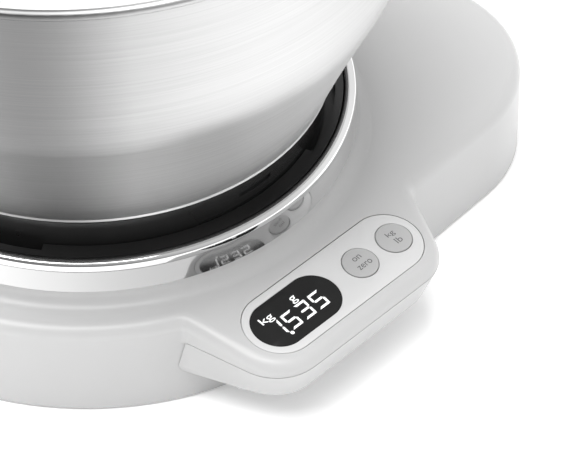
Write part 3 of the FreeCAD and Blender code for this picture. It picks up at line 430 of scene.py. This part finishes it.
def polished_chrome(name, roughness, bead):
    """Bright plating with painted reflections: darker and brighter bands round the axis below the height of the rim's
    bead, half as strong above it.
    """
    finish = Finish(name, (0.95, 0.95, 0.95), roughness, metallic=1.0)
    painted_reflection_bands = finish.around((-180, 0.70), (-140, 0.38), (-115, 0.29), (-92, 0.36), (-80, 0.85), (-68, 1.0),
                          (-50, 0.9), (0, 0.55), (60, 0.85), (110, 0.5), (179, 0.75))
    # Painted reflections: these bands multiply the chrome's colour round the axis to stand for the room it mirrors.
    finish.shaded(painted_reflection_bands, finish.rise(bead - 0.5 * MM, bead + 1.0 * MM, 1.0, 0.5))
    finish.rough(finish.pattern(60.0, detail=5.0), roughness * 0.7, roughness * 1.4)
    finish.bump(finish.pattern(16.0, detail=0.0), 0.02 * MM)
    return finish.material


def brushed_steel(name, depth):
    """Fine lines running level round the turned bowl, with painted reflections as dark and bright bands from top to
    bottom, and painted shade darkening it towards the top.
    """
    finish = Finish(name, (0.84, 0.84, 0.84), 0.40, metallic=1.0, Anisotropic=0.3)
    tangent = finish.nodes.new("ShaderNodeTangent")
    tangent.direction_type = "RADIAL"
    tangent.axis = "Z"
    finish.links.new(tangent.outputs["Tangent"], finish.shader.inputs["Tangent"])
    fine = finish.pattern(22.0, stretch=(1, 1, 100), detail=4.0)
    finish.tone(finish.pattern(16.0, stretch=(1, 1, 120), detail=6.0), 0.15)
    # Painted shade: the colour darkens to two thirds from the foot ring's top to 70 mm above it.
    finish.shaded(finish.rise(RING_TOP, RING_TOP + 70.0 * MM, 1.0, 0.66))
    # Painted reflections: bands of darker and brighter colour round the axis stand for the room the steel mirrors.
    finish.shaded(finish.around((-180, 0.62), (-150, 0.30), (-137, 0.24), (-125, 0.72), (-105, 0.98), (-85, 0.95),
                                (-60, 0.66), (-20, 0.9), (30, 0.55), (70, 0.95), (120, 0.6), (160, 0.9),
                                (179, 0.62)))
    finish.rough(fine, 0.36, 0.50)
    finish.bump(fine, depth)
    return finish.material


def gloss_black(name, roughness, **sockets):
    finish = Finish(name, (0.020, 0.020, 0.020), roughness, **sockets)
    finish.tone(finish.pattern(40.0), 0.3)
    finish.rough(finish.pattern(900.0), roughness * 0.8, roughness * 1.25)
    finish.bump(finish.pattern(1400.0), 0.001 * MM)
    return finish.material


def cast_metal(name, colour, roughness):
    finish = Finish(name, colour, roughness, metallic=1.0)
    finish.tone(finish.pattern(120.0), 0.08)
    finish.rough(finish.pattern(700.0), roughness * 0.8, roughness * 1.2)
    finish.bump(finish.pattern(900.0), 0.02 * MM)
    return finish.material


def soft_rubber(name, colour):
    finish = Finish(name, colour, 0.75)
    finish.tone(finish.pattern(300.0), 0.12)
    finish.bump(finish.pattern(2200.0), 0.01 * MM)
    return finish.material


def circuit_board_finish(name):
    finish = Finish(name, (0.02, 0.12, 0.05), 0.35)
    tracks = finish.pattern(420.0, kind="ShaderNodeTexVoronoi")
    finish.tone(tracks, 0.5)
    finish.bump(tracks, 0.02 * MM)
    return finish.material


# ---- operators ----
class SCALE_OT_housing(bpy.types.Operator):
    """Finish the base, the pod's lower shell, the bottom plate, the feet and the battery door"""
    bl_idname = "scale.housing"
    bl_label = "Housing"

    def execute(self, context):
        size = context.scene.scale_housing
        shell = moulded("light_grey_moulding", size.colour, size.gloss)
        paint(shell, "top_cover", "pod_lower_shell")
        paint(moulded("matt_grey_moulding", [c * 0.9 for c in size.colour], 0.5, depth=0.01 * MM),
              "bottom_plate", "battery_door", "battery_tray")
        paint(soft_rubber("foot_rubber", (0.05, 0.05, 0.05)), "rubber_feet")
        return {"FINISHED"}


class SCALE_OT_collar(bpy.types.Operator):
    """Turn the chrome collar round the weighing seat"""
    bl_idname = "scale.collar"
    bl_label = "Chrome collar"

    def execute(self, context):
        size = context.scene.scale_collar
        outer = (COLLAR_HIGH.x - COLLAR_LOW.x) / 2
        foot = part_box("top_cover")[1].z
        top = COLLAR_HIGH.z
        bead = top - 2 * size.rim
        bead_outer = outer - 0.5 * MM
        inner = outer - 5.6 * MM
        skirt = inner + 1.2 * MM
        neck = outer - size.flare
        wall = 2.0 * MM
        under = bead - 1.0 * MM
        points = [(outer, foot), (outer - size.flare * 0.45, foot + (bead - foot) * 0.4), (neck, bead + 0.1 * MM),
                  (neck + 0.3 * MM, bead), (bead_outer, bead), (bead_outer, top), (inner, top),
                  (inner, COLLAR_LOW.z), (skirt, COLLAR_LOW.z), (skirt, under), (neck - wall, under),
                  (outer - wall, foot)]
        bm = bmesh.new()
        round_rim = size.rim * 0.97
        spun(bm, points, {4: 1.0 * MM, 5: round_rim, 6: round_rim}, segments=12, steps=360)
        bmesh.ops.translate(bm, verts=bm.verts[:], vec=AXIS)
        collar = finished("chrome_collar", bm)
        settle(collar, "base", "chrome", polished_chrome("polished_chrome", size.roughness, bead), "seat_collar")
        return {"FINISHED"}


class SCALE_OT_seat(bpy.types.Operator):
    """Finish the black weighing seat, its pads and the bowl's foot ring"""
    bl_idname = "scale.seat"
    bl_label = "Weighing seat"

    def execute(self, context):
        paint(gloss_black("satin_black", 0.30), "weighing_seat")
        paint(gloss_black("gloss_black", 0.20), "bowl_base_ring")
        paint(soft_rubber("seat_pad_rubber", (0.04, 0.04, 0.04)), "seat_pads")
        paint(soft_rubber("soft_seal", (0.03, 0.03, 0.03)), "splash_seal", "fascia_gasket", "zero_dome",
              "unit_dome")
        return {"FINISHED"}


class SCALE_OT_bowl(bpy.types.Operator):
    """Finish the brushed steel bowl"""
    bl_idname = "scale.bowl"
    bl_label = "Steel bowl"

    def execute(self, context):
        size = context.scene.scale_bowl
        paint(brushed_steel("brushed_steel", size.brushing), "bowl_shell")
        return {"FINISHED"}


class SCALE_OT_panel(bpy.types.Operator):
    """Finish the fascia, the window and the buttons"""
    bl_idname = "scale.panel"
    bl_label = "Control panel"

    def execute(self, context):
        size = context.scene.scale_panel
        place = panel_place()
        buttons = ("zero_button", "unit_button")
        holes = [centre_on_panel(place, name) for name in buttons]
        window = centre_on_panel(place, "display_window")
        self.fascia(size, place, window, holes)
        self.lens(place, window)
        caps = moulded("button_plastic", size.button, 0.38)
        for name, at in zip(buttons, holes):
            self.cap(name, at, place, caps)
        self.digits(size, place, window)
        ink = moulded("legend_ink", size.ink, 0.5)
        words = (("zero_legend_on", "on", 0, (-1.6, 2.6, 1.5, 3.5)),
                 ("zero_legend_zero", "zero", 0, (-2.9, 4.4, -3.0, -0.9)),
                 ("unit_legend_kg", "kg", 1, (-1.8, 2.2, 0.6, 3.7)),
                 ("unit_legend_lb", "lb", 1, (-0.9, 2.2, -3.4, -0.5)))
        for name, text, index, box in words:
            legend(name, text, box, place @ Matrix.Translation((*holes[index], 0)), buttons[index], ink)
        return {"FINISHED"}

    def fascia(self, size, place, window, holes):
        """Thin plate with softened rims round its outline, the window and both buttons."""
        half, radius = stadium_size(place, "control_fascia")
        lens_half, flange = stadium_size(place, "display_window")
        bm = bmesh.new()
        tops = rims(bm, (0, 0), half, radius - FASCIA_GAP, (0.30 * MM, 0.0), (0.09 * MM, -0.08 * MM),
                    (0.0, -0.30 * MM), (0.0, -FASCIA_THICK))
        tops += rims(bm, window, lens_half, flange - LENS_FLANGE + LENS_GAP, (-0.16 * MM, 0.0),
                     (-0.04 * MM, -0.05 * MM), (0.0, -0.2 * MM), (0.0, -FASCIA_THICK))
        for hole in holes:
            tops += rims(bm, hole, 0.0, HOLE_RADIUS, (-0.2 * MM, 0.0), (-0.05 * MM, -0.06 * MM),
                         (0.0, -0.22 * MM), (0.0, -FASCIA_THICK))
        bmesh.ops.triangle_fill(bm, edges=tops, use_beauty=True, use_dissolve=False)
        bmesh.ops.transform(bm, verts=bm.verts[:], matrix=place)
        plate = finished("fascia_plate", bm)
        settle(plate, "base", "fascia", moulded("fascia_plastic", size.fascia, 0.30), "control_fascia")

    def lens(self, place, window):
        """Flush window with a fine bevel, on its flange."""
        half, flange = stadium_size(place, "display_window")
        bm = bmesh.new()
        top = rims(bm, window, half, flange - LENS_FLANGE, (0.18 * MM, 0.0), (0.05 * MM, -0.05 * MM),
                   (0.0, -0.2 * MM), (0.0, -FASCIA_THICK), (-LENS_FLANGE, -FASCIA_THICK),
                   (-LENS_FLANGE, -2.3 * MM))
        bmesh.ops.contextual_create(bm, geom=top)
        bmesh.ops.contextual_create(bm, geom=[e for e in bm.edges if e.is_boundary])
        bmesh.ops.transform(bm, verts=bm.verts[:], matrix=place)
        dark = gloss_black("window_black", 0.07, Specular_IOR_Level=0.04)
        settle(finished("window_lens", bm), "base", "display_window", dark, "display_window")

    def cap(self, node, at, place, material):
        """Round button cap with a rolled edge, its retaining flange and stem."""
        bm = bmesh.new()
        low = min((place.inverted() @ v.co).z for v in NODES[node].data.vertices)
        proud, flange_low = 0.3 * MM, -2.7 * MM
        face, flange, stem = 7.42 * MM, 8.0 * MM, 3.0 * MM
        points = [(0.0, proud), (face, proud), (face, -FASCIA_THICK), (flange, -FASCIA_THICK),
                  (flange, flange_low), (stem, flange_low), (stem, low), (0.0, low)]
        spun(bm, points, {1: 0.35 * MM}, closed=False)
        bmesh.ops.transform(bm, verts=bm.verts[:], matrix=place @ Matrix.Translation((at.x, at.y, 0)))
        settle(finished(node + "_cap", bm), node, "button", material, node)

    def digits(self, size, place, window):
        """Slanted seven-bar digits, a round decimal point and both unit marks, a hair proud of the window."""
        bm = bmesh.new()
        pitch = size.digit_height * 0.93
        shown = size.reading.replace(".", "")
        first = window.x - 0.8 * MM - pitch * (len(shown) - 1) / 2
        middle = window.y - 2.0 * MM
        for index, digit in enumerate(shown):
            for name in BARS_LIT[digit]:
                bar(bm, name, size, (first + pitch * index, middle))
        if "." in size.reading:
            after = size.reading.index(".") - 1
            dot = bmesh.ops.create_circle(bm, cap_ends=True, segments=24, radius=0.85 * MM)["verts"]
            at = (first + pitch * (after + 0.42), middle - size.digit_height * 0.575, 0)
            bmesh.ops.translate(bm, verts=dot, vec=at)
        bmesh.ops.translate(bm, verts=bm.verts[:], vec=(0, 0, 0.03 * MM))
        bmesh.ops.transform(bm, verts=bm.verts[:], matrix=place)
        lit = Finish("lit_display", (0.85, 0.85, 0.85), 0.4)
        lit.shader.inputs["Emission Color"].default_value = (1, 1, 1, 1)
        lit.shader.inputs["Emission Strength"].default_value = size.glow
        lit.tone(lit.pattern(900.0), 0.03)
        settle(finished("display_digits", bm, outward=False), "base", "display_glass", lit.material)
        marks = (("display_kg", "kg", (-36.8, -30.4, 2.15, 6.6)), ("display_g", "g", (-19.9, -16.8, 2.5, 6.2)))
        for name, words, box in marks:
            legend(name, words, box, place, "base", lit.material, 0.03 * MM, "display_glass", 0.006)


class SCALE_OT_inside(bpy.types.Operator):
    """Finish the mechanism, boards, cables and cells inside"""
    bl_idname = "scale.inside"
    bl_label = "Inside"

    def execute(self, context):
        paint(cast_metal("cast_aluminium", (0.62, 0.62, 0.62), 0.42), "platform_spider", "load_cell_beam")
        plated = cast_metal("plated_steel", (0.55, 0.55, 0.57), 0.28)
        paint(plated, "chassis_plate", "chassis_screws", "fixed_cell_spacer", "free_cell_spacer", "fixed_cell_screws",
              "free_cell_screws", "overload_stops", "seat_screws", "cover_screws", "pod_screws", "board_screws",
              "frame_screws", "main_board_screws", "battery_contacts")
        paint(circuit_board_finish("green_board"), "control_board", "main_board")
        paint(gloss_black("chip_black", 0.45), "board_chips", "beeper", "panel_frame")
        paint(moulded("light_guide_acrylic", (0.80, 0.80, 0.78), 0.12), "light_guide")
        paint(gloss_black("display_glass", 0.06), "display_module")
        paint(soft_rubber("white_sealant", (0.75, 0.75, 0.72)), "gauge_sealant")
        paint(moulded("cable_sheath", (0.08, 0.08, 0.08), 0.45), "display_cable", "load_cell_cable", "battery_leads")
        paint(cast_metal("cell_jacket", (0.25, 0.25, 0.26), 0.30), "battery_cells")
        return {"FINISHED"}


class SCALE_OT_studio(bpy.types.Operator):
    """Lay the pale floor, hang the soft lights and set the camera"""
    bl_idname = "scale.studio"
    bl_label = "Studio"

    def execute(self, context):
        size = context.scene.scale_studio
        bm = bmesh.new()
        bmesh.ops.create_circle(bm, cap_ends=True, segments=64, radius=14.0)
        floor = finished("studio_floor", bm, outward=False)
        sheet = Finish("pale_sweep", size.floor, 0.9)
        sheet.shader.inputs["Emission Color"].default_value = (1, 1, 1, 1)
        sheet.shader.inputs["Emission Strength"].default_value = size.wash
        sheet.tone(sheet.pattern(3.0), 0.004)
        floor.data.materials.append(sheet.material)
        self.room(context, size)
        self.key_light(context, size)
        self.camera(context, size)
        return {"FINISHED"}

    def room(self, context, size):
        world = bpy.data.worlds.new("studio_room")
        world.use_nodes = True
        nodes, links = world.node_tree.nodes, world.node_tree.links
        sky = nodes["Background"]
        sky.inputs["Color"].default_value = (1, 1, 1, 1)
        direction = nodes.new("ShaderNodeTexCoord")
        facing = nodes.new("ShaderNodeVectorMath")
        facing.operation = "DOT_PRODUCT"
        facing.inputs[1].default_value = size.bright_side
        level = nodes.new("ShaderNodeMapRange")
        level.interpolation_type = "SMOOTHSTEP"
        limits = {"From Min": -0.35, "From Max": 0.75, "To Min": size.shade, "To Max": size.sky}
        for socket, value in limits.items():
            level.inputs[socket].default_value = value
        links.new(direction.outputs["Generated"], facing.inputs[0])
        links.new(facing.outputs["Value"], level.inputs["Value"])
        links.new(level.outputs["Result"], sky.inputs["Strength"])
        context.scene.world = world
        context.scene.view_settings.view_transform = "Standard"

    def key_light(self, context, size):
        place = Vector((-0.32, 0.25, 1.5))
        target = Vector((0.0, -0.05, 0.0))
        lamp = bpy.data.lights.new("key_soft_light", "AREA")
        lamp.size = 1.6
        lamp.energy = size.key
        unit = bpy.data.objects.new("key_soft_light", lamp)
        unit.location = place
        unit.rotation_euler = (target - place).to_track_quat("-Z", "Y").to_euler()
        context.scene.collection.objects.link(unit)

    def camera(self, context, size):
        ahead = Vector((math.sin(size.heading) * math.cos(size.pitch), math.cos(size.heading) * math.cos(size.pitch),
                        -math.sin(size.pitch)))
        side = Vector((math.cos(size.heading), -math.sin(size.heading), 0.0))
        turn = Matrix.Rotation(size.roll, 3, -ahead)
        side = turn @ side
        up = side.cross(ahead)
        lens = bpy.data.cameras.new("camera")
        lens.sensor_width = 36.0
        lens.lens = size.lens
        lens.clip_start, lens.clip_end = 0.05, 50.0
        camera = bpy.data.objects.new("camera", lens)
        place = AXIS + Vector(size.aim) - ahead * size.distance
        camera.matrix_world = Matrix.Translation(place) @ Matrix((side, up, -ahead)).transposed().to_4x4()
        context.scene.collection.objects.link(camera)
        context.scene.camera = camera


class SCALE_PT_sidebar(bpy.types.Panel):
    bl_label = "Kitchen Scale"
    bl_idname = "SCALE_PT_sidebar"
    bl_space_type = "VIEW_3D"
    bl_region_type = "UI"
    bl_category = "Kitchen Scale"

    def draw(self, context):
        for step in STEPS:
            self.layout.operator(step.bl_idname)
        for group in GROUPS:
            box = self.layout.box()
            settings = getattr(context.scene, group)
            for name in settings.bl_rna.properties.keys():
                if name not in {"rna_type", "name"}:
                    box.prop(settings, name)


GROUPS = {"scale_housing": ScaleHousing, "scale_collar": ScaleCollar, "scale_bowl": ScaleBowl,
          "scale_panel": ScalePanel, "scale_studio": ScaleStudio}
STEPS = (SCALE_OT_studio, SCALE_OT_housing, SCALE_OT_collar, SCALE_OT_seat, SCALE_OT_bowl, SCALE_OT_panel,
         SCALE_OT_inside)


def register():
    for cls in (*GROUPS.values(), *STEPS, SCALE_PT_sidebar):
        bpy.utils.register_class(cls)
    for name, group in GROUPS.items():
        setattr(bpy.types.Scene, name, PointerProperty(type=group))


def unregister():
    for name in GROUPS:
        delattr(bpy.types.Scene, name)
    for cls in (SCALE_PT_sidebar, *reversed(STEPS), *reversed(list(GROUPS.values()))):
        bpy.utils.unregister_class(cls)


def main():
    register()
    for step in STEPS:
        group, _, action = step.bl_idname.partition(".")
        getattr(getattr(bpy.ops, group), action)()


if __name__ == "__main__":
    main()
